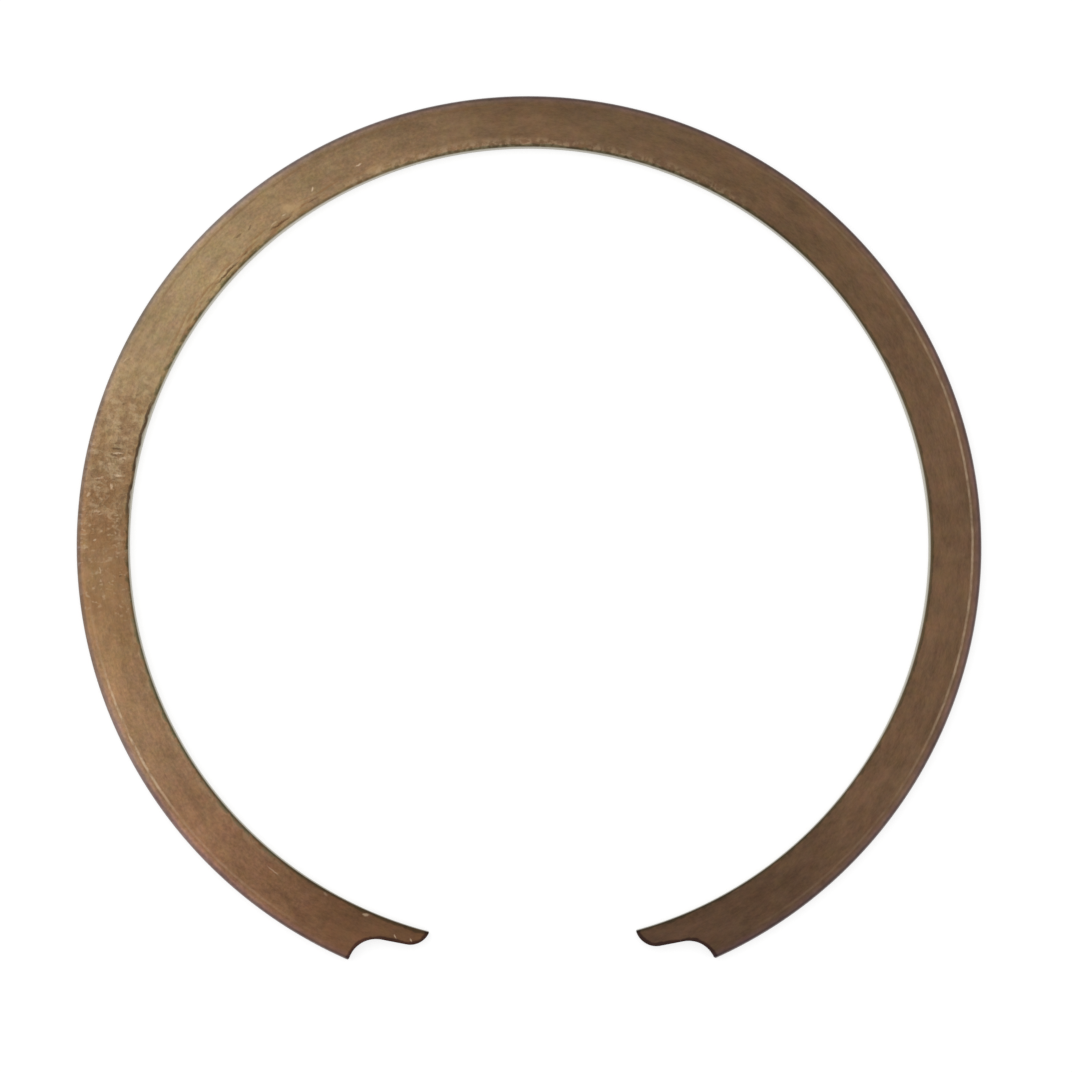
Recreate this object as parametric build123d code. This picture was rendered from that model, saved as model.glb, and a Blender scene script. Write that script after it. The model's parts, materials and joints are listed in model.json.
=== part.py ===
import os
from math import acos, asin, cos, degrees, radians, sin

from build123d import *

# An internal snap ring in its free state: one length of flat spring wire, wound on edge into an
# open ring, with both ends punched. Millimetres and degrees. The origin is the centre of the
# bore, half way up the wire's thickness. +Z is up and the gap between the ends faces -Y.

# The ring
outside_diameter = 138.0
wire_width = 8.0
wire_thickness = 2.0

# The wire's section: a shallow band falls away along the rim, and the long corners are rounded
rim_band_width = 1.3
rim_band_drop = 0.08
rim_corner_radius = 0.35
bore_corner_radius = 0.5

# The free gap, straight across between the two finger tips
tip_gap = 31.2

# The punched shape that both ends share: a round nose, a straight flank and a round notch,
# which ends at a horn on the rim. The neck between notch and bore is a step wider than the finger.
nose_radius = 3.1
notch_radius = 4.3
neck_step = 0.45
tip_corner_radius = 0.25
punched_edge_radius = 0.15

# Where the punch met each end: how wide it left the finger, and how far along the bore from
# the finger's tip the notch is centred
left_finger_width = 2.8
left_notch_distance = 5.75
right_finger_width = 3.3
right_notch_distance = 5.4

outer_radius = outside_diameter / 2
inner_radius = outer_radius - wire_width
tip_angle = degrees(asin(tip_gap / 2 / inner_radius))

# A full circle starts and ends at the middle of the gap, so no seam is left on the ring
towards_gap = Rot(Z=-90)

# A rounded edge takes at most this share of the half wall or the corner that it lies on
rounding_limit = 0.9


def ring_point(radius, angle):
    """A point at this radius, and at this angle from the middle of the gap towards +X."""
    return Vector(radius * sin(radians(angle)), -radius * cos(radians(angle)))


def wire_section():
    """The wire cut across, drawn with X as the radius and Y as the height."""
    half = wire_thickness / 2
    rim_half = half - rim_band_drop
    band_start = outer_radius - rim_band_width
    section = Polygon(
        (inner_radius, -half),
        (band_start, -half),
        (outer_radius, -rim_half),
        (outer_radius, rim_half),
        (band_start, half),
        (inner_radius, half),
        align=None,
    )
    bore_corners = section.vertices().group_by(Axis.X)[0]
    section = fillet(bore_corners, min(bore_corner_radius, rounding_limit * half))
    rim_corners = section.vertices().group_by(Axis.X)[-1]
    return fillet(rim_corners, min(rim_corner_radius, rounding_limit * rim_half))


def end_punch(finger_width, notch_distance):
    """What the punch takes off the end on the +X side, from the gap's middle to the horn."""
    # The nose's circle passes through the finger's tip and reaches the finger's full width
    nose_place = inner_radius + finger_width - nose_radius
    nose_turn = degrees(acos(
        (nose_place**2 + inner_radius**2 - nose_radius**2) / (2 * nose_place * inner_radius)
    ))
    nose_centre = ring_point(nose_place, tip_angle + nose_turn)

    # The notch's circle leaves the neck a step wider than the finger
    notch_place = inner_radius + finger_width + neck_step + notch_radius
    notch_angle = tip_angle + degrees(notch_distance / inner_radius)
    notch_centre = ring_point(notch_place, notch_angle)

    # The flank is the straight line that leaves the nose and runs into the notch
    between = notch_centre - nose_centre
    flank_turn = degrees(acos((nose_radius + notch_radius) / between.length))
    across = between.normalized().rotate(Axis.Z, -flank_turn)
    flank_start = nose_centre + across * nose_radius
    flank_end = notch_centre - across * notch_radius

    # All is cleared up to the notch's middle, so the horn stands where its circle meets the rim
    past_rim = outer_radius + wire_width
    cleared = Polygon(
        ring_point(0, 0),
        nose_centre,
        flank_start,
        flank_end,
        notch_centre,
        ring_point(past_rim, notch_angle),
        ring_point(past_rim, 0),
        align=None,
    )
    notch = Pos(notch_centre) * Circle(notch_radius)
    nose = Pos(nose_centre) * Circle(nose_radius)
    return cleared + notch - nose


def ring_outline():
    """The finished ring seen from above, with its tips and horns slightly rounded."""
    outline = towards_gap * (Circle(outer_radius) - Circle(inner_radius))
    outline -= end_punch(right_finger_width, right_notch_distance)
    outline -= mirror(end_punch(left_finger_width, left_notch_distance), Plane.YZ)
    # Drawn in by the corner radius and out again, the outline comes back with its corners round
    return offset(offset(outline, -tip_corner_radius), tip_corner_radius)


def snap_ring():
    """The wound wire, kept where the finished ring's shape passes through it."""
    wound_wire = towards_gap * revolve(Plane.XZ * wire_section(), Axis.Z)
    shape = extrude(ring_outline(), wire_thickness / 2, both=True)
    edges_by_height = shape.edges().group_by(Axis.Z)
    face_edges = edges_by_height[0] + edges_by_height[-1]
    edge_radius = min(punched_edge_radius, rounding_limit * tip_corner_radius)
    shape = fillet(face_edges, edge_radius)
    return wound_wire & shape


os.makedirs("parts", exist_ok=True)
export_step(snap_ring(), "parts/snap_ring.step")
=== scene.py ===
import json
from math import acos, asin, atan2, ceil, cos, pi, radians, sin, sqrt

import bpy
import numpy as np
from mathutils import Matrix, Vector
from mathutils.geometry import delaunay_2d_cdt


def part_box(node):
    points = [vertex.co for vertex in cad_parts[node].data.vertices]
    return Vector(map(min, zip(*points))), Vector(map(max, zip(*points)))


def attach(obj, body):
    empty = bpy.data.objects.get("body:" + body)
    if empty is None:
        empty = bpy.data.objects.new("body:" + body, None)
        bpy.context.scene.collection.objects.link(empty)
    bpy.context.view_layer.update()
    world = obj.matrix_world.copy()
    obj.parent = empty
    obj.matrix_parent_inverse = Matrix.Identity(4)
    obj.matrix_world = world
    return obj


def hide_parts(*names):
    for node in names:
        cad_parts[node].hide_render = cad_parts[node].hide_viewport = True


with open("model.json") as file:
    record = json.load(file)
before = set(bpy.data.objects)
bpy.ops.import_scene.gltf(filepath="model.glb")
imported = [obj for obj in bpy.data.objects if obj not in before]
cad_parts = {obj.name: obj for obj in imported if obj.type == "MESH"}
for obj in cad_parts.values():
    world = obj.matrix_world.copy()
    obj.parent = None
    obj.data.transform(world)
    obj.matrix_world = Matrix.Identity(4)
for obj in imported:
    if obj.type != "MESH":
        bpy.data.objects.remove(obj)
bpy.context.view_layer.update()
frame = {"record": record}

# The camera. The ring lies flat and is seen from straight above, but for five degrees, through a
# long lens. The ring stands a little low and left in the picture, and is turned by a quarter of
# a degree.

image_side = 1072
pixel_on_ring = 0.00015269
camera_distance = 0.52
camera_tilt = radians(5.21)
camera_side = radians(-105)
camera_roll = radians(0.255)
aimed_at = Vector((0.00087, 0.00093, 0))

camera_data = bpy.data.cameras.new("camera")
camera_data.sensor_width = 36
camera_data.lens = camera_data.sensor_width * camera_distance / (image_side * pixel_on_ring)
camera_data.clip_start = 0.01
camera_data.clip_end = 20
camera = bpy.data.objects.new("camera", camera_data)
bpy.context.scene.collection.objects.link(camera)
bpy.context.scene.camera = camera

towards_camera = Vector((
    sin(camera_tilt) * cos(camera_side),
    sin(camera_tilt) * sin(camera_side),
    cos(camera_tilt),
))
camera_right = Vector((cos(camera_roll), -sin(camera_roll), 0))
camera_up = towards_camera.cross(camera_right).normalized()
camera_right = camera_up.cross(towards_camera)
camera.matrix_world = Matrix.LocRotScale(
    aimed_at + towards_camera * camera_distance,
    Matrix((camera_right, camera_up, towards_camera)).transposed(),
    None,
)

# The ring. One length of flat spring steel wire is wound on edge, and each end is punched to a
# slim finger, a round notch and a horn. The flat sheet made here is the ring seen from above.

mounts = {mount["name"]: mount for mount in frame["record"]["mounts"]}
rim_radius = mounts["rim"]["dims"]["r_mm"] / 1000
bore_radius = mounts["bore"]["dims"]["r_mm"] / 1000
lowest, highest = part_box("snap_ring")
wire_thickness = highest.z - lowest.z

tip_gap = 0.0312
nose_radius = 0.0031
notch_radius = 0.0043
neck_step = 0.00045
tip_corner_radius = 0.00025
left_finger_width = 0.0028
left_notch_distance = 0.00575
right_finger_width = 0.0033
right_notch_distance = 0.0054

origin = Vector((0, 0))
tip_angle = asin(tip_gap / 2 / bore_radius)

station_turn = radians(0.5)
cut_step = 0.00015
corner_turn = radians(10)
border_rows = (0, 0.00001, 0.00004, 0.00009, 0.00015, 0.0002)
rows_from_bore = (
    0.00026, 0.00033, 0.00041, 0.0005, 0.00056, 0.001, 0.0017, 0.0024, 0.0031, 0.0038,
)
rows_from_rim = (
    0.00027, 0.00035, 0.0005, 0.0008, 0.00125, 0.0013, 0.00135, 0.0018, 0.0024, 0.0031,
)
rows_near_end = (0.00005, 0.0001, 0.00015, 0.0003)
clear_of_end = 0.0006
clear_of_cut = 0.00012
same_point = cut_step / 100
merged_within = cut_step / 10000
triangles_inside = 1


def place(radius, angle):
    """The point at this radius, and this far round from the middle of the gap towards +X."""
    return Vector((radius * sin(angle), -radius * cos(angle)))


def crossing(centre_a, radius_a, centre_b, radius_b, side):
    """Where two circles cross, to the left (1) or to the right (-1) of the way from a to b."""
    way = centre_b - centre_a
    along = (way.length_squared + radius_a**2 - radius_b**2) / (2 * way.length)
    aside = Vector((-way.y, way.x)).normalized() * sqrt(radius_a**2 - along**2)
    return centre_a + way.normalized() * along + aside * side


def towards(centre, point, distance):
    """The point at this distance from the centre, on the way to another point."""
    return centre + (point - centre).normalized() * distance


def punched_end(finger_width, notch_distance):
    """The end on the +X side, from bore to rim: arcs of centre, start, end and turn."""
    nose_place = bore_radius + finger_width - nose_radius
    nose_turn = acos(
        (nose_place**2 + bore_radius**2 - nose_radius**2) / (2 * nose_place * bore_radius)
    )
    nose = place(nose_place, tip_angle + nose_turn)
    notch_place = bore_radius + finger_width + neck_step + notch_radius
    notch = place(notch_place, tip_angle + notch_distance / bore_radius)

    between = notch - nose
    flank_turn = acos((nose_radius + notch_radius) / between.length)
    across = Matrix.Rotation(-flank_turn, 2) @ between.normalized()

    # The small round corners touch the bore and the nose, and the rim and the notch
    tip = crossing(
        origin, bore_radius + tip_corner_radius, nose, nose_radius - tip_corner_radius, -1
    )
    horn = crossing(
        origin, rim_radius - tip_corner_radius, notch, notch_radius + tip_corner_radius, 1
    )
    tip_on_nose = towards(nose, tip, nose_radius)
    horn_on_notch = towards(notch, horn, notch_radius)
    return [
        (tip, towards(origin, tip, bore_radius), tip_on_nose, 1),
        (nose, tip_on_nose, nose + across * nose_radius, 1),
        (notch, notch - across * notch_radius, horn_on_notch, -1),
        (horn, horn_on_notch, towards(origin, horn, rim_radius), 1),
    ]


def mirrored(arcs):
    """The same arcs on the -X side, taken from rim to bore."""
    def flip(point):
        return Vector((-point.x, point.y))
    return [(flip(centre), flip(end), flip(start), turn) for centre, start, end, turn in arcs[::-1]]


def along_arc(centre, start, end, turn):
    """Points on an arc, anticlockwise for turn 1, each with the way into the metal on its left."""
    radius = (start - centre).length
    first = atan2(start.y - centre.y, start.x - centre.x)
    last = atan2(end.y - centre.y, end.x - centre.x)
    sweep = (last - first) * turn % (2 * pi)
    count = ceil(sweep / min(corner_turn, cut_step / radius))
    outward = [
        Vector((cos(first + turn * sweep * k / count), sin(first + turn * sweep * k / count)))
        for k in range(count + 1)
    ]
    return [(centre + way * radius, -way * turn) for way in outward]


def along_circle(radius, first, last, turn):
    """Points on the rim or the bore at every station between two angles, and close to each end."""
    near_end = [distance / radius for distance in rows_near_end]
    clear = clear_of_end / radius
    low, high = min(first, last), max(first, last)
    first_station = ceil((low + near_end[-1]) / station_turn) * station_turn
    inside = np.arange(first_station, high, station_turn)
    angles = [low + step for step in near_end]
    angles += [angle for angle in inside if low + clear < angle < high - clear]
    angles += [high - step for step in near_end[::-1]]
    ways = [Vector((cos(angle), sin(angle))) for angle in angles[::turn]]
    return [(way * radius, -way * turn) for way in ways]


def angle_of(point):
    """The point's angle from +X, anticlockwise, counted up from straight down through the gap."""
    return (atan2(point.y, point.x) + pi / 2) % (2 * pi) - pi / 2


right_end = punched_end(right_finger_width, right_notch_distance)
left_end = mirrored(punched_end(left_finger_width, left_notch_distance))
right_cut = [sample for arc in right_end for sample in along_arc(*arc)]
left_cut = [sample for arc in left_end for sample in along_arc(*arc)]
rim = along_circle(rim_radius, angle_of(right_cut[-1][0]), angle_of(left_cut[0][0]), 1)
bore = along_circle(bore_radius, angle_of(right_cut[0][0]), angle_of(left_cut[-1][0]), -1)

outline = []
for point, inward in rim + left_cut + bore + right_cut:
    if not outline or (point - outline[-1][0]).length > same_point:
        outline.append((point, inward))

sheet_points = [point + inward * row for row in border_rows for point, inward in outline]
loop_length = len(outline)
loop = sheet_points[-loop_length:]

cut_row = np.array([point + inward * border_rows[-1] for point, inward in left_cut + right_cut])
first_station = ceil((tip_angle - pi / 2) / station_turn)
stations = np.arange(first_station, (3 * pi / 2 - tip_angle) / station_turn) * station_turn
radii = [bore_radius + row for row in rows_from_bore]
radii += [rim_radius - row for row in rows_from_rim]
lattice = [
    Vector((radius * cos(station), radius * sin(station)))
    for station in stations for radius in radii
]
lattice = [
    point for point in lattice
    if np.hypot(*(cut_row - np.array(point)).T).min() > clear_of_cut
]

_, _, triangles, came_from, _, _ = delaunay_2d_cdt(
    loop + lattice, [], [list(range(loop_length))], triangles_inside, merged_within
)
loop_start = len(sheet_points) - loop_length
sheet_index = [loop_start + sources[0] for sources in came_from]
faces = [[sheet_index[corner] for corner in triangle] for triangle in triangles]
for row in range(len(border_rows) - 1):
    for k in range(loop_length):
        after = (k + 1) % loop_length
        outer, inner = row * loop_length, (row + 1) * loop_length
        faces.append([outer + k, outer + after, inner + after, inner + k])

# Lattice points that fell outside the ring are in no face, and are left behind
used = sorted({corner for face in faces for corner in face})
new_index = {corner: k for k, corner in enumerate(used)}
every_point = sheet_points + lattice
sheet = bpy.data.meshes.new("punched_sheet")
sheet_corners = [(*every_point[corner], 0) for corner in used]
sheet_faces = [[new_index[corner] for corner in face] for face in faces]
sheet.from_pydata(sheet_corners, [], sheet_faces)
sheet.update()

# Its section is given by Geometry Nodes: the sheet gets the wire's thickness, the rounded
# corners of the bore and the rim, the band that falls away along the rim, and broken punched edges.

wire_section = {
    "Thickness": wire_thickness,
    "Bore Radius": bore_radius,
    "Rim Radius": rim_radius,
    "Bore Corner": 0.0005,
    "Rim Corner": 0.00035,
    "Rim Band Width": 0.0013,
    "Rim Band Drop": 0.00008,
    "Punched Edge": 0.00015,
    "Nick Depth": 0.0003,
    "Nicked From": 148.0,
    "Nicked To": 178.0,
    "Unevenness": 0.000006,
}
nick_seed = 3
nick_size = 0.0016
nick_fade = 14.0
ripple_size = 0.0035
cut_tolerance = 0.00002
weld_distance = 0.0000002


def node(tree, kind, inputs=None, **settings):
    """A new node in the tree. Each input takes a value or the output of another node."""
    made = tree.nodes.new(kind)
    for name, value in settings.items():
        setattr(made, name, value)
    for key, value in (inputs or {}).items():
        if isinstance(value, bpy.types.NodeSocket):
            tree.links.new(value, made.inputs[key])
        else:
            made.inputs[key].default_value = value
    return made


def maths(tree, operation, *values):
    """What a Math node makes of values or outputs."""
    return node(tree, "ShaderNodeMath", dict(enumerate(values)), operation=operation).outputs[0]


def window(tree, value, start, end, fade):
    """1 where the value lies between start and end, falling smoothly to 0 over the fade."""
    rising = node(tree, "ShaderNodeMapRange", {
        "Value": maths(tree, "SUBTRACT", value, start),
        "From Min": -fade / 2, "From Max": fade / 2,
    }, interpolation_type="SMOOTHSTEP").outputs[0]
    falling = node(tree, "ShaderNodeMapRange", {
        "Value": maths(tree, "SUBTRACT", end, value),
        "From Min": -fade / 2, "From Max": fade / 2,
    }, interpolation_type="SMOOTHSTEP").outputs[0]
    return maths(tree, "MULTIPLY", rising, falling)


def new_tree(name, kind, takes, gives):
    """A node tree with named sockets, and its input and output nodes."""
    tree = bpy.data.node_groups.new(name, kind)
    for sockets, way in ((takes, "INPUT"), (gives, "OUTPUT")):
        for socket, sort in sockets.items():
            tree.interface.new_socket(socket, in_out=way, socket_type="NodeSocket" + sort)
    return tree, tree.nodes.new("NodeGroupInput").outputs, tree.nodes.new("NodeGroupOutput").inputs


def degrees_round(tree, x, y):
    """The angle from +X in degrees, anticlockwise, which jumps only inside the gap."""
    turn = maths(tree, "ARCTAN2", maths(tree, "MULTIPLY", x, -1.0), y)
    return maths(tree, "ADD", maths(tree, "DEGREES", turn), 90.0)


# A rounded corner: how far its surface lies below the face, at a distance from its wall
corner_tree, given, made = new_tree(
    "Rounded corner", "GeometryNodeTree",
    {"Distance": "Float", "Radius": "Float"}, {"Drop": "Float"},
)
to_flat = maths(corner_tree, "SUBTRACT", given["Radius"], given["Distance"])
short_of = maths(corner_tree, "MAXIMUM", to_flat, 0.0)
under_root = maths(
    corner_tree, "SUBTRACT",
    maths(corner_tree, "MULTIPLY", given["Radius"], given["Radius"]),
    maths(corner_tree, "MULTIPLY", short_of, short_of),
)
left_standing = maths(corner_tree, "SQRT", maths(corner_tree, "MAXIMUM", under_root, 0.0))
drop = maths(corner_tree, "SUBTRACT", given["Radius"], left_standing)
corner_tree.links.new(drop, made["Drop"])

section_sockets = {name: "Float" for name in wire_section}
wire_tree, given, made = new_tree(
    "Wire from sheet", "GeometryNodeTree",
    {"Sheet": "Geometry", **section_sockets, "Seed": "Float", "Steel": "Material"},
    {"Ring": "Geometry"},
)


def wire_maths(operation, *values):
    return maths(wire_tree, operation, *values)


def corner_drop(distance, radius):
    """How far the face falls at this distance from a rounded corner's wall."""
    return node(wire_tree, "GeometryNodeGroup", {
        "Distance": distance, "Radius": radius,
    }, node_tree=corner_tree).outputs[0]


position = node(wire_tree, "GeometryNodeInputPosition").outputs[0]
across = node(wire_tree, "ShaderNodeSeparateXYZ", {0: position}).outputs
in_plan = node(wire_tree, "ShaderNodeCombineXYZ", {0: across["X"], 1: across["Y"]}).outputs[0]
radius = node(wire_tree, "ShaderNodeVectorMath", {0: in_plan}, operation="LENGTH").outputs["Value"]
from_bore = wire_maths("SUBTRACT", radius, given["Bore Radius"])
from_rim = wire_maths("SUBTRACT", given["Rim Radius"], radius)

# The punched edges are the sheet's border where it leaves both the bore and the rim. An edge on
# the border has one face.
face_count = node(wire_tree, "GeometryNodeInputMeshEdgeNeighbors").outputs[0]
on_border = wire_maths("COMPARE", face_count, 1.0, 0.5)
off_circles = wire_maths("GREATER_THAN", wire_maths("MINIMUM", from_bore, from_rim), cut_tolerance)
cut_edges = node(wire_tree, "GeometryNodeSeparateGeometry", {
    "Geometry": given["Sheet"], "Selection": wire_maths("MULTIPLY", on_border, off_circles),
}, domain="EDGE").outputs[0]
cut_distance = node(
    wire_tree, "GeometryNodeProximity", {0: cut_edges}, target_element="EDGES"
).outputs["Distance"]
measured = node(wire_tree, "GeometryNodeStoreNamedAttribute", {
    "Geometry": given["Sheet"], "Name": "from_cut", "Value": cut_distance,
}, data_type="FLOAT", domain="POINT").outputs[0]
from_cut = node(wire_tree, "GeometryNodeInputNamedAttribute", {
    "Name": "from_cut",
}, data_type="FLOAT").outputs[0]

# Handling has nicked the bore's corner along one stretch
nicks = node(wire_tree, "ShaderNodeTexNoise", {
    "Vector": in_plan, "W": given["Seed"], "Scale": 1 / nick_size, "Detail": 3.0,
}, noise_dimensions="4D").outputs[0]
nicked = window(
    wire_tree, degrees_round(wire_tree, across["X"], across["Y"]),
    given["Nicked From"], given["Nicked To"], nick_fade,
)
nick_depth = wire_maths("MULTIPLY", wire_maths("MULTIPLY", nicks, nicked), given["Nick Depth"])
bore_corner = wire_maths("ADD", given["Bore Corner"], nick_depth)

# The corners, the band along the rim and the unevenness all lower the face
at_bore = corner_drop(from_bore, bore_corner)
at_rim = corner_drop(from_rim, given["Rim Corner"])
at_cut = corner_drop(from_cut, given["Punched Edge"])
corners = wire_maths("MAXIMUM", wire_maths("MAXIMUM", at_bore, at_rim), at_cut)
into_band = wire_maths("SUBTRACT", 1.0, wire_maths("DIVIDE", from_rim, given["Rim Band Width"]))
band = wire_maths("MULTIPLY", wire_maths("MAXIMUM", into_band, 0.0), given["Rim Band Drop"])
ripple = node(wire_tree, "ShaderNodeTexNoise", {
    "Vector": in_plan, "W": given["Seed"], "Scale": 1 / ripple_size,
}, noise_dimensions="4D").outputs[0]
uneven = wire_maths("MULTIPLY", ripple, given["Unevenness"])
sunk = wire_maths("ADD", wire_maths("ADD", corners, band), uneven)
height = wire_maths("SUBTRACT", wire_maths("DIVIDE", given["Thickness"], 2.0), sunk)


def raised(value):
    """A vector straight up by this value."""
    return node(wire_tree, "ShaderNodeCombineXYZ", {2: value}).outputs[0]


# The sheet is raised to the upper face, and walls go down from its border. A turned-over copy,
# lowered as far, closes the underside.
upper = node(wire_tree, "GeometryNodeSetPosition", {
    "Geometry": measured, "Offset": raised(height),
}).outputs[0]
down_to_mirror = wire_maths("MULTIPLY", across["Z"], -2.0)
walled = node(wire_tree, "GeometryNodeExtrudeMesh", {
    "Mesh": upper, "Selection": on_border, "Offset": raised(down_to_mirror), "Offset Scale": 1.0,
}, mode="EDGES").outputs[0]
under = node(wire_tree, "GeometryNodeFlipFaces", {"Mesh": measured}).outputs[0]
lower = node(wire_tree, "GeometryNodeSetPosition", {
    "Geometry": under, "Offset": raised(wire_maths("MULTIPLY", height, -1.0)),
}).outputs[0]
joined = node(wire_tree, "GeometryNodeJoinGeometry")
wire_tree.links.new(walled, joined.inputs[0])
wire_tree.links.new(lower, joined.inputs[0])
closed = node(wire_tree, "GeometryNodeMergeByDistance", {
    "Geometry": joined.outputs[0], "Distance": weld_distance,
}).outputs[0]
smooth = node(wire_tree, "GeometryNodeSetShadeSmooth", {"Geometry": closed}).outputs[0]
realized = node(wire_tree, "GeometryNodeRealizeInstances", {"Geometry": smooth}).outputs[0]
finished = node(wire_tree, "GeometryNodeSetMaterial", {
    "Geometry": realized, "Material": given["Steel"],
}).outputs[0]
wire_tree.links.new(finished, made["Ring"])

# The steel's finish. It was blued in the furnace to a bronze brown, straw coloured at the upper
# left, with a scaly, flecked stretch below it. Besides, painted light makes the upper left lighter
# and the lower right darker, and painted shade makes the edges darker. The bore's wall is bare.

deep_brown = (0.093, 0.051, 0.029, 1)
brown = (0.160, 0.090, 0.049, 1)
dull_brown = (0.150, 0.085, 0.046, 1)
dark_brown = (0.141, 0.081, 0.042, 1)
umber = (0.126, 0.076, 0.040, 1)
bronze = (0.209, 0.132, 0.069, 1)
straw = (0.305, 0.211, 0.109, 1)
dark_straw = (0.309, 0.212, 0.114, 1)
red_brown = (0.252, 0.145, 0.069, 1)
rose_brown = (0.274, 0.162, 0.086, 1)
plum_brown = (0.225, 0.118, 0.062, 1)
finger_brown = (0.136, 0.067, 0.033, 1)

# The temper colours by their angle round the ring, in degrees from +X, and how far they waver. They
# hold painted light too: lighter towards the upper left, darker towards the lower right.
temper_and_painted_light_colours = (
    (-64, deep_brown), (-30, brown), (2, dull_brown), (18, brown), (38, dark_brown),
    (66, dark_brown), (80, umber), (88, dark_brown), (114, bronze), (140, straw),
    (162, dark_straw), (177, red_brown), (192, red_brown), (208, rose_brown), (222, plum_brown),
    (243, finger_brown),
)
temper_and_painted_light_waver = 20.0
tint_swing = (0.38, 0.33, 0.62)
tint_start = (0.81, 0.835, 0.69)

cream = (0.68, 0.52, 0.36, 1)
fleck_colour = (0.42, 0.30, 0.185, 1)
worn_colour = (0.39, 0.285, 0.175, 1)
gold = (0.41, 0.275, 0.14, 1)
crease_colour = (0.120, 0.060, 0.027, 1)
furrow_colour = (0.165, 0.088, 0.040, 1)
rust = (0.215, 0.105, 0.042, 1)

# These four tint what is under them. Rosy also makes the rim's band brighter; mauve, olive black
# and cut brown darken the edges as painted shade
mauve = (0.63, 0.69, 0.80, 1)
rosy = (1.17, 1.21, 1.70, 1)
olive_black = (0.52, 0.62, 0.58, 1)
cut_brown = (0.38, 0.32, 0.42, 1)

bare_steel = (0.54, 0.515, 0.44, 1)
rubbed_grey = (0.42, 0.37, 0.36, 1)
ledge_brown = (0.080, 0.047, 0.026, 1)

# Marks in the surface: the angle round the ring and the turn in degrees, then the distance from
# the bore, the length and the width in millimetres, and how strongly the mark shows
dark_marks = (
    (159.2, 27, 3.0, 0.8, 0.28, 0.4),
    (164.3, 72, 3.7, 2.0, 0.32, 0.5),
    (166.3, 62, 3.65, 1.3, 0.32, 0.6),
    (167.1, 84, 3.6, 1.8, 0.34, 0.9),
    (167.9, 84, 3.75, 1.5, 0.28, 0.6),
    (138.0, 1, 1.1, 6.0, 0.3, 1.0),
    (134.2, -7, 1.2, 1.3, 0.28, 0.6),
    (133.3, 9, 3.85, 1.5, 0.36, 0.6),
    (131.4, -20, 3.6, 1.3, 0.36, 0.55),
    (127.8, 3, 1.15, 4.6, 0.3, 0.9),
    (122.0, 2, 1.2, 2.6, 0.26, 0.5),
    (184.6, 0, 1.4, 0.45, 0.4, 0.6),
    (155.2, 30, 6.2, 0.6, 0.3, 0.4),
    (160.9, 60, 4.3, 0.8, 0.3, 0.4),
)
light_marks = (
    (167.6, 80, 3.3, 1.9, 0.3, 0.8),
    (168.2, 60, 2.4, 1.2, 0.5, 0.5),
    # The next mark is a painted highlight along the lip of the long crease at 138 degrees
    (138.0, 1, 1.45, 5.4, 0.22, 0.35),
    (121.3, -50, 2.8, 0.9, 0.36, 1.0),
    (114.1, -12, 2.8, 1.1, 0.34, 0.9),
    (126.6, 10, 1.9, 0.9, 0.34, 0.6),
    (128.5, 0, 1.75, 1.6, 0.24, 0.5),
    (183.6, -8, 4.5, 1.2, 0.32, 0.45),
    (184.9, 30, 4.6, 0.6, 0.34, 0.35),
    (179.5, 60, 5.2, 0.7, 0.34, 0.6),
    (178.4, 60, 4.2, 0.6, 0.34, 0.4),
    (178.6, 0, 2.1, 0.5, 0.4, 0.45),
    (175.7, 84, 5.0, 1.0, 0.26, 0.5),
    (176.1, 78, 4.4, 1.1, 0.26, 0.4),
    (173.7, 40, 6.6, 0.9, 0.5, 0.6),
    (172.2, 0, 3.35, 1.1, 0.6, 0.6),
    (171.4, 72, 5.4, 1.6, 0.3, 0.5),
    (170.6, 84, 2.7, 1.5, 0.6, 0.65),
    (169.3, 60, 4.2, 0.7, 0.45, 0.4),
    (155.5, 20, 6.8, 1.4, 0.24, 0.35),
    (141.3, -40, 5.3, 1.4, 0.2, 0.3),
    (231.7, 3, 2.2, 2.6, 0.24, 0.4),
    (250.8, 40, 2.25, 0.9, 0.26, 0.7),
    (253.0, 55, 2.05, 0.7, 0.26, 0.7),
    (245.9, -15, 0.75, 1.4, 0.5, 0.55),
    (239.6, 0, 0.7, 1.0, 0.4, 0.22),
)
golden_marks = (
    (125.6, 35, 2.4, 3.2, 1.9, 0.65),
    (124.6, -20, 1.5, 3.6, 1.0, 0.5),
    (112.6, 10, 1.3, 4.8, 1.2, 0.3),
    (131.0, 0, 1.0, 3.0, 0.8, 0.3),
)
mark_bend = 0.0006
upper_face_fade = 0.0002

noise_middle = 0.5
relief_depth = 0.00025

steel = bpy.data.materials.new("blued_spring_steel")
steel.use_nodes = True
steel_tree = steel.node_tree
steel_tree.nodes.clear()


def steel_maths(operation, *values):
    return maths(steel_tree, operation, *values)


def plus(first, second):
    return steel_maths("ADD", first, second)


def minus(value, taken):
    return steel_maths("SUBTRACT", value, taken)


def overlap(*masks, strength=1.0):
    """All of these masks multiplied, and made this strong."""
    product = strength
    for mask in masks:
        product = steel_maths("MULTIPLY", mask, product)
    return product


def between(mask, outside, inside):
    """A value that runs from the one outside the mask to the one inside it."""
    return steel_maths("MULTIPLY_ADD", mask, inside - outside, outside)


def laid_over(below, above, share, blend_type="MIX"):
    """The colour below with another laid over it, as far as the share says."""
    return node(steel_tree, "ShaderNodeMix", {
        0: share, 6: below, 7: above,
    }, data_type="RGBA", blend_type=blend_type).outputs[2]


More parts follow.
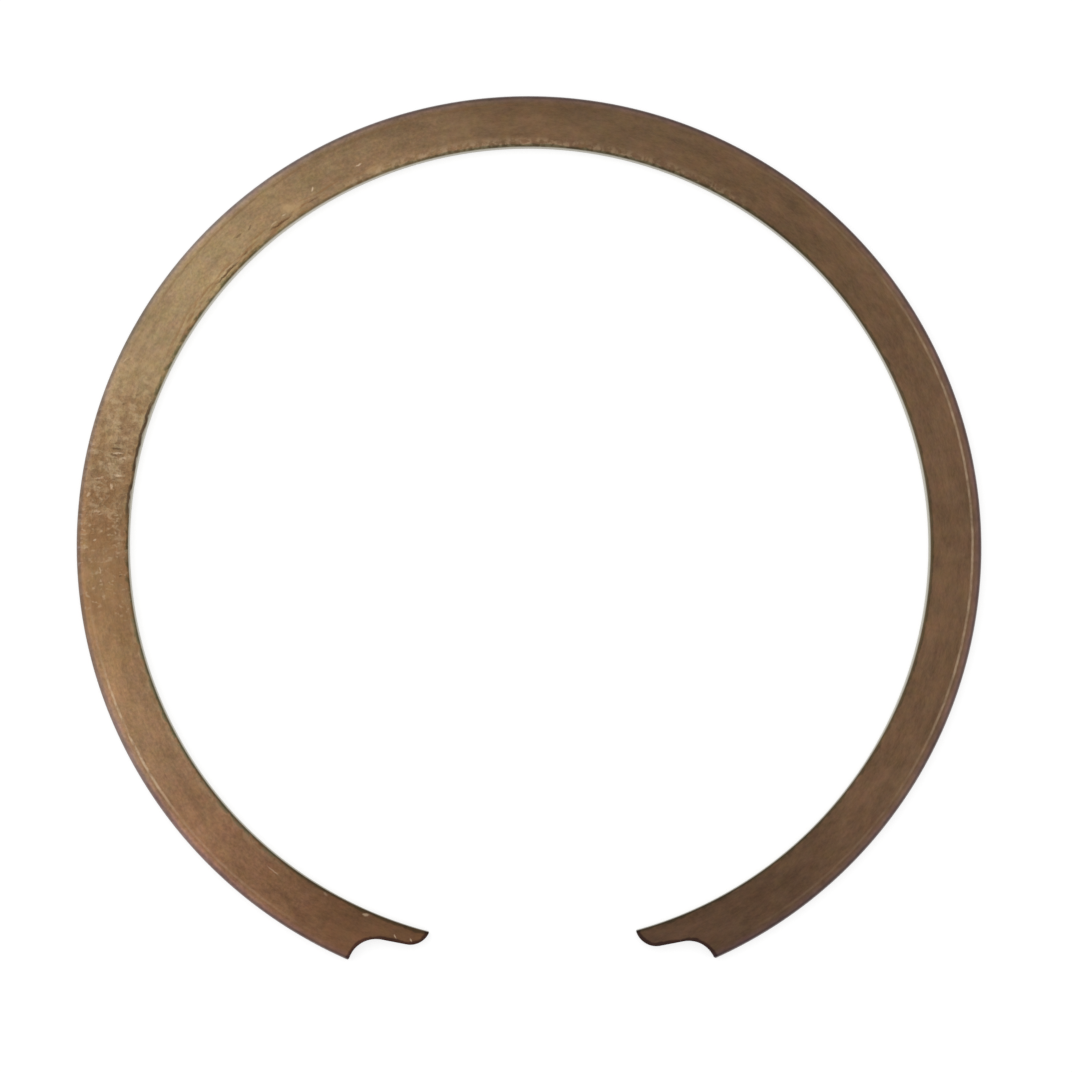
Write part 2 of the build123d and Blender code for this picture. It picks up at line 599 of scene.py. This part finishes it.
# Places on the wire: the angle round the ring, and how far along, across and up, in metres
place_tree, _, made = new_tree(
    "Place on the wire", "ShaderNodeTree", {}, {
        "Angle": "Float", "From Bore": "Float", "From Rim": "Float", "Height": "Float",
        "Unrolled": "Vector",
    },
)
at = node(place_tree, "ShaderNodeSeparateXYZ", {
    0: node(place_tree, "ShaderNodeTexCoord").outputs["Object"],
}).outputs
flat_at = node(place_tree, "ShaderNodeCombineXYZ", {0: at["X"], 1: at["Y"]}).outputs[0]
radius = node(place_tree, "ShaderNodeVectorMath", {0: flat_at}, operation="LENGTH").outputs["Value"]
angle = degrees_round(place_tree, at["X"], at["Y"])
middle_radius = (bore_radius + rim_radius) / 2
along = maths(place_tree, "MULTIPLY", maths(place_tree, "RADIANS", angle), middle_radius)
inset = maths(place_tree, "SUBTRACT", radius, bore_radius)
unrolled = node(place_tree, "ShaderNodeCombineXYZ", {0: along, 1: inset, 2: at["Z"]}).outputs[0]
for name, output in (
    ("Angle", angle), ("From Bore", inset), ("Height", at["Z"]), ("Unrolled", unrolled),
    ("From Rim", maths(place_tree, "SUBTRACT", rim_radius, radius)),
):
    place_tree.links.new(output, made[name])

# One mark: an oval of this half size about a place on the unrolled wire, soft towards its edge
mark_tree, given, made = new_tree(
    "Mark", "ShaderNodeTree", {
        "Unrolled": "Vector", "Centre": "Vector", "Turn": "Float", "Half Size": "Vector",
        "Strength": "Float",
    },
    {"Mask": "Float"},
)
away = node(mark_tree, "ShaderNodeVectorMath", {
    0: given["Unrolled"], 1: given["Centre"],
}, operation="SUBTRACT").outputs[0]
back_turn = maths(mark_tree, "RADIANS", maths(mark_tree, "MULTIPLY", given["Turn"], -1.0))
turned = node(mark_tree, "ShaderNodeVectorRotate", {
    "Vector": away, "Angle": back_turn,
}, rotation_type="Z_AXIS").outputs[0]
scaled = node(mark_tree, "ShaderNodeVectorMath", {
    0: turned, 1: given["Half Size"],
}, operation="DIVIDE").outputs[0]
reach = node(mark_tree, "ShaderNodeVectorMath", {0: scaled}, operation="LENGTH").outputs["Value"]
oval = node(mark_tree, "ShaderNodeMapRange", {
    "Value": reach, "From Min": 1.15, "From Max": 0.35,
}, interpolation_type="SMOOTHSTEP").outputs[0]
mark_tree.links.new(maths(mark_tree, "MULTIPLY", oval, given["Strength"]), made["Mask"])

on_wire = node(steel_tree, "ShaderNodeGroup", node_tree=place_tree).outputs
from_bore = on_wire["From Bore"]
from_rim = on_wire["From Rim"]
from_cut = node(steel_tree, "ShaderNodeAttribute", attribute_name="from_cut").outputs["Fac"]


def speckle(size, seed, detail=3.0, roughness=0.6, along=1.0, output="Fac"):
    """Noise whose largest grains have this size, drawn out along the wire."""
    stretched = node(steel_tree, "ShaderNodeVectorMath", {
        0: on_wire["Unrolled"], 1: (1 / along, 1.0, 1.0), 2: (seed, seed, seed),
    }, operation="MULTIPLY_ADD").outputs[0]
    return node(steel_tree, "ShaderNodeTexNoise", {
        "Vector": stretched, "Scale": 1 / size, "Detail": detail, "Roughness": roughness,
    }).outputs[output]


def swing(noise, depth):
    """A factor that swings about 1 with the noise."""
    return steel_maths("MULTIPLY_ADD", minus(noise, noise_middle), depth, 1.0)


def above(noise, level, softness):
    """1 where the noise rises above this level, or below it where the softness is negative."""
    return node(steel_tree, "ShaderNodeMapRange", {
        "Value": noise, "From Min": level - softness / 2, "From Max": level + softness / 2,
    }, interpolation_type="SMOOTHSTEP").outputs[0]


def stretch(start, end, fade):
    """1 along the stretch of the ring between two angles."""
    return window(steel_tree, on_wire["Angle"], start, end, fade)


def near(distance, width, softness):
    """1 within this width of an edge."""
    return minus(1.0, above(minus(distance, width), level=0.0, softness=softness))


def marked(marks):
    """The strongest of all these marks at each place. The lower face has none of them."""
    strongest = 0.0
    for angle, turn, inset, length, width, strength in marks:
        mask = node(steel_tree, "ShaderNodeGroup", {
            "Unrolled": wavering, "Centre": (radians(angle) * middle_radius, inset / 1000, 0),
            "Turn": turn, "Half Size": (length / 2000, width / 2000, 1), "Strength": strength,
        }, node_tree=mark_tree).outputs[0]
        strongest = steel_maths("MAXIMUM", strongest, mask)
    return overlap(strongest, above(on_wire["Height"], level=0.0, softness=upper_face_fade))


# Noise bends the marks' outlines, so none of them is a true oval
bend = node(steel_tree, "ShaderNodeVectorMath", {
    0: speckle(size=0.0010, seed=0.1, detail=2.0, output="Color"),
    1: (noise_middle, noise_middle, noise_middle),
}, operation="SUBTRACT").outputs[0]
wavering = node(steel_tree, "ShaderNodeVectorMath", {
    0: bend, 1: (mark_bend, mark_bend, 0), 2: on_wire["Unrolled"],
}, operation="MULTIPLY_ADD").outputs[0]
wavering = node(steel_tree, "ShaderNodeVectorMath", {
    0: wavering, 1: (1, 1, 0),
}, operation="MULTIPLY").outputs[0]

tone = speckle(size=0.0060, seed=0.2, detail=5.0, roughness=0.92, along=2.4)
tint = speckle(size=0.0026, seed=0.3, detail=5.0, roughness=0.85, output="Color")
scale = speckle(size=0.0013, seed=0.4, along=0.6)
blobs = speckle(size=0.0008, seed=0.5, detail=1.5, roughness=0.5, along=0.7)
waver = speckle(size=0.0016, seed=0.6, detail=4.0)
streaks = speckle(size=0.0006, seed=0.7, along=7.0)
clusters = above(speckle(size=0.0040, seed=0.8, detail=2.0), level=0.47, softness=0.16)
grain = speckle(size=0.0005, seed=0.9, detail=2.0)
patches = above(speckle(size=0.0026, seed=1.1, roughness=0.7), level=0.50, softness=0.16)
rolling = speckle(size=0.0030, seed=1.2, detail=2.0)
drawn = speckle(size=0.0008, seed=1.3, along=1.8)
flakes = speckle(size=0.0010, seed=1.4, detail=2.5, along=1.2)
breaks = speckle(size=0.0010, seed=1.5, along=1.6)

scaly = stretch(157, 180, fade=14)
flecked = stretch(166, 191, fade=10)
mealy = stretch(146, 168, fade=12)

# The temper colours, with their painted light, run into one another round the ring
first_angle, last_angle = temper_and_painted_light_colours[0][0], temper_and_painted_light_colours[-1][0]
wavering_angle = steel_maths(
    "MULTIPLY_ADD", minus(waver, noise_middle), temper_and_painted_light_waver, on_wire["Angle"]
)
along_ramp = node(steel_tree, "ShaderNodeMapRange", {
    "Value": wavering_angle, "From Min": first_angle, "From Max": last_angle,
}).outputs[0]
temper_and_painted_light = node(steel_tree, "ShaderNodeValToRGB", {0: along_ramp})
stops = temper_and_painted_light.color_ramp.elements
ramp_middle = 0.5
while len(stops) < len(temper_and_painted_light_colours):
    stops.new(ramp_middle)
for stop, (angle, stop_colour) in zip(stops, temper_and_painted_light_colours):
    stop.position = (angle - first_angle) / (last_angle - first_angle)
    stop.color = stop_colour

tint_factor = node(steel_tree, "ShaderNodeVectorMath", {
    0: tint, 1: tint_swing, 2: tint_start,
}, operation="MULTIPLY_ADD").outputs[0]
colour = laid_over(temper_and_painted_light.outputs[0], tint_factor, 1.0, "MULTIPLY")

# Painted light and shade across the face, for faces that winding on edge has dished a little: at
# the top and upper left the bore's side is painted lighter and the rim's side darker, and from the
# left to the lower left the other way round
across_share = steel_maths("DIVIDE", from_bore, rim_radius - bore_radius)
past_middle = minus(across_share, 0.5)
dished_painted_light = plus(
    overlap(stretch(82, 128, fade=20), strength=0.46),
    overlap(stretch(136, 166, fade=14), strength=0.14),
)
painted_light_bore_side = overlap(dished_painted_light, past_middle, strength=-1.0)
painted_light_rim_side = overlap(stretch(162, 245, fade=24), past_middle, strength=0.22)
grainy = plus(stretch(100, 148, fade=10), stretch(190, 240, fade=14))
shade = overlap(
    plus(1.0, plus(painted_light_bore_side, painted_light_rim_side)),
    swing(tone, depth=1.7),
    swing(scale, depth=overlap(scaly, strength=0.6)),
    swing(blobs, depth=overlap(mealy, strength=0.5)),
    swing(grain, depth=between(grainy, outside=0.12, inside=0.67)),
)
shade_colour = node(steel_tree, "ShaderNodeCombineColor", {
    0: shade, 1: shade, 2: shade,
}).outputs[0]
colour = laid_over(colour, shade_colour, 1.0, "MULTIPLY")

# The scale is wrinkled and creased. It is rusty in patches, and in streaks near the bore.
wrinkles = overlap(
    scaly,
    above(scale, level=0.57, softness=0.16),
    between(clusters, outside=0.12, inside=0.52),
)
creases = overlap(scaly, above(scale, level=0.42, softness=-0.16), strength=0.28)
rusty = overlap(steel_maths("MAXIMUM", scaly, flecked), patches, strength=0.40)
streaked = overlap(
    stretch(112, 152, fade=14),
    near(from_bore, width=0.0022, softness=0.0014),
    above(streaks, level=0.54, softness=0.14),
    strength=0.60,
)
colour = laid_over(colour, rust, rusty)
colour = laid_over(colour, furrow_colour, creases)
colour = laid_over(colour, worn_colour, wrinkles)
colour = laid_over(colour, rust, streaked)

# It has flaked off in flecks below the scaly stretch, and beside the bore at the top. Beside the
# bore at the lower left it is chafed and scratched.
light_flecks = overlap(flecked, clusters, above(blobs, level=0.64, softness=0.16), strength=0.50)
flaked = overlap(
    plus(
        overlap(stretch(58, 118, fade=12), strength=0.36),
        overlap(stretch(88, 118, fade=14), strength=0.24),
    ),
    near(from_bore, width=0.0011, softness=0.0018),
    above(flakes, level=0.52, softness=0.20),
)
beside_bore = overlap(
    stretch(188, 233, fade=10), near(from_bore, width=0.0010, softness=0.0016)
)
chafed = overlap(beside_bore, above(drawn, level=0.50, softness=0.20), strength=0.36)
scratched = overlap(beside_bore, above(drawn, level=0.43, softness=-0.14), strength=0.45)
colour = laid_over(colour, fleck_colour, light_flecks)
colour = laid_over(colour, fleck_colour, flaked)
colour = laid_over(colour, worn_colour, chafed)
colour = laid_over(colour, furrow_colour, scratched)

light_mask = marked(light_marks)
dark_mask = marked(dark_marks)
golden = overlap(marked(golden_marks), above(waver, level=0.47, softness=0.30))
colour = laid_over(colour, gold, golden)
# The light marks are laid on in cream; one of them is a painted highlight beside a crease
colour = laid_over(colour, cream, overlap(light_mask, strength=0.60))
colour = laid_over(colour, crease_colour, overlap(dark_mask, strength=0.85))

# The band along the rim is tinted pink and painted brighter, and less so at the left
band = overlap(
    near(from_rim, width=0.0009, softness=0.0009),
    between(stretch(140, 200, fade=20), outside=1.0, inside=0.4),
)
colour = laid_over(colour, rosy, band, "MULTIPLY")

# The ridge where the band begins is painted a lighter cream along two stretches, at the lower left
# and at the right, and darker at the top
ridge_waver = 0.0002
ridge_shift = plus(
    overlap(stretch(180, 240, fade=12), strength=0.00008),
    overlap(stretch(14, 60, fade=10), strength=-0.00010),
)
ridge_place = steel_maths("MULTIPLY_ADD", waver, ridge_waver, ridge_shift)
ridge = window(steel_tree, minus(from_rim, ridge_place), 0.00116, 0.00150, fade=0.00024)
lighter_ridge_left = plus(
    overlap(
        stretch(198, 214, fade=10), above(breaks, level=0.46, softness=0.20), strength=0.28
    ),
    overlap(stretch(188, 236, fade=16), strength=0.10),
)
lighter_ridge_right = plus(
    overlap(stretch(-26, 28, fade=20), strength=0.20),
    overlap(stretch(-58, 60, fade=16), strength=0.05),
)
lighter_ridge = overlap(ridge, plus(lighter_ridge_left, lighter_ridge_right), swing(breaks, depth=2.8))
dark_ridge = overlap(
    ridge, stretch(86, 148, fade=20), above(streaks, level=0.47, softness=0.16), strength=0.45
)
colour = laid_over(colour, cream, lighter_ridge)
colour = laid_over(colour, furrow_colour, dark_ridge)

# Painted shade darkens the rounded edges: mauve along the rim, dark brown along the punched ends,
# and olive black along the bore, where it bites into the face at the left
edge_waver = overlap(minus(waver, noise_middle), strength=0.0008)
broadened = overlap(stretch(160, 232, fade=24), strength=0.00010)
pushed_in = plus(
    overlap(stretch(-30, 24, fade=20), strength=0.00016),
    overlap(stretch(228, 262, fade=12), strength=0.00006),
)
from_bore_line = minus(plus(from_bore, edge_waver), pushed_in)
rim_edge_shade = near(minus(from_rim, broadened), width=0.00050, softness=0.00040)
cut_edge_shade = near(plus(from_cut, edge_waver), width=0.00050, softness=0.00030)
bore_edge_shade = overlap(
    near(from_bore_line, width=0.00046, softness=0.00028),
    between(stretch(108, 194, fade=24), outside=1.0, inside=0.55),
)
bitten_edge_shade = overlap(
    stretch(130, 236, fade=14),
    near(from_bore_line, width=0.00074, softness=0.00030),
    above(drawn, level=0.51, softness=0.10),
    strength=0.85,
)
rim_corner = overlap(
    near(from_rim, width=0.00018, softness=0.00022),
    between(stretch(140, 200, fade=20), outside=0.40, inside=0.24),
)
colour = laid_over(colour, mauve, rim_edge_shade, "MULTIPLY")
colour = laid_over(colour, olive_black, bitten_edge_shade, "MULTIPLY")
colour = laid_over(colour, cut_brown, cut_edge_shade, "MULTIPLY")
colour = laid_over(colour, olive_black, bore_edge_shade, "MULTIPLY")
colour = laid_over(colour, rubbed_grey, rim_corner)

# The bore's wall is bare steel, which reaches a little over its corner in places
bare_width = plus(
    between(stretch(122, 240, fade=20), outside=0.00005, inside=0.00015),
    overlap(stretch(-30, 24, fade=20), strength=0.00011),
)
wall = near(minus(from_bore, bare_width), width=0.0, softness=0.00020)
colour = laid_over(colour, bare_steel, overlap(wall, strength=0.9))

# Where the bore's corner is chipped, a dark ledge line is painted along the face above the bare
# steel
chipped = stretch(159.5, 175.5, fade=3)
ledge_place = between(rolling, outside=-0.00014, inside=0.00106)
past_ledge = minus(from_bore, ledge_place)
ledge = overlap(
    chipped,
    window(steel_tree, past_ledge, -0.00018, 0.00022, fade=0.00016),
    above(rolling, level=0.38, softness=0.12),
    strength=0.85,
)
chip = overlap(chipped, near(past_ledge, width=-0.00016, softness=0.0001), strength=0.45)
colour = laid_over(colour, bare_steel, chip)
colour = laid_over(colour, ledge_brown, ledge)

# The scale stands up from the face, and the dark marks are pressed into it
relief = plus(overlap(scale, plus(0.05, scaly)), overlap(tone, strength=0.3))
relief = minus(relief, overlap(dark_mask, strength=0.3))
bump = node(steel_tree, "ShaderNodeBump", {
    "Height": relief, "Strength": 1.0, "Distance": relief_depth,
}).outputs[0]

shader = node(steel_tree, "ShaderNodeBsdfPrincipled", {
    "Base Color": colour, "Metallic": 0.9, "Normal": bump,
    "Roughness": between(tone, outside=0.32, inside=0.52),
}).outputs[0]
node(steel_tree, "ShaderNodeOutputMaterial", {"Surface": shader})

# The sheet becomes the ring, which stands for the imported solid
host = bpy.data.objects.new("punched_sheet", sheet)
bpy.context.scene.collection.objects.link(host)
section = host.modifiers.new("Wire from sheet", "NODES")
section.node_group = wire_tree
values = {**wire_section, "Seed": nick_seed, "Steel": steel}
for socket in wire_tree.interface.items_tree:
    if socket.in_out == "INPUT" and socket.name in values:
        section[socket.identifier] = values[socket.name]
evaluated = host.evaluated_get(bpy.context.evaluated_depsgraph_get())
wire_mesh = bpy.data.meshes.new_from_object(evaluated)
bpy.data.objects.remove(host)

ring = bpy.data.objects.new("wound_wire", wire_mesh)
bpy.context.scene.collection.objects.link(ring)
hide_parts("snap_ring")
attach(ring, "root")

# The place where the ring lies: a plain white floor, in the light of one big soft lamp at the
# upper left and of a pale room. The floor's white is its own, and the ring's shadow stays on it.

floor_half = 2.0
floor_colour = (0.35, 0.35, 0.35, 1)
floor_glow = 0.71
room_colour = (1.0, 1.0, 1.0, 1)
room_strength = 0.88
lamp_size = 1.4
lamp_distance = 1.0
lamp_power = 3.0
lamp_lean = radians(36)
lamp_side = radians(155)

floor_mesh = bpy.data.meshes.new("floor")
floor_mesh.from_pydata(
    [(floor_half * x, floor_half * y, lowest.z) for x, y in ((-1, -1), (1, -1), (1, 1), (-1, 1))],
    [], [(0, 1, 2, 3)],
)
floor = bpy.data.objects.new("floor", floor_mesh)
bpy.context.scene.collection.objects.link(floor)

floor_paint = bpy.data.materials.new("floor_paint")
floor_paint.use_nodes = True
floor_tree = floor_paint.node_tree
floor_tree.nodes.clear()
rays = node(floor_tree, "ShaderNodeLightPath").outputs
seen_or_mirrored = maths(floor_tree, "MAXIMUM", rays["Is Camera Ray"], rays["Is Glossy Ray"])
seen = maths(floor_tree, "MAXIMUM", seen_or_mirrored, rays["Is Transmission Ray"])
paint = node(floor_tree, "ShaderNodeBsdfDiffuse", {"Color": floor_colour}).outputs[0]
glow = node(floor_tree, "ShaderNodeEmission", {
    "Color": (1, 1, 1, 1), "Strength": maths(floor_tree, "MULTIPLY", seen, floor_glow),
}).outputs[0]
both_shaders = node(floor_tree, "ShaderNodeAddShader", {0: paint, 1: glow}).outputs[0]
node(floor_tree, "ShaderNodeOutputMaterial", {"Surface": both_shaders})
floor_mesh.materials.append(floor_paint)

world = bpy.data.worlds.new("room")
world.use_nodes = True
room = world.node_tree.nodes["Background"]
room.inputs["Color"].default_value = room_colour
room.inputs["Strength"].default_value = room_strength
bpy.context.scene.world = world

lamp_data = bpy.data.lights.new("soft_lamp", "AREA")
lamp_data.shape = "DISK"
lamp_data.size = lamp_size
lamp_data.energy = lamp_power
lamp = bpy.data.objects.new("soft_lamp", lamp_data)
bpy.context.scene.collection.objects.link(lamp)
towards_lamp = Vector((
    sin(lamp_lean) * cos(lamp_side), sin(lamp_lean) * sin(lamp_side), cos(lamp_lean),
))
lamp.location = towards_lamp * lamp_distance
lamp.rotation_euler = towards_lamp.to_track_quat("Z", "Y").to_euler()

bpy.context.scene.view_settings.view_transform = "Standard"
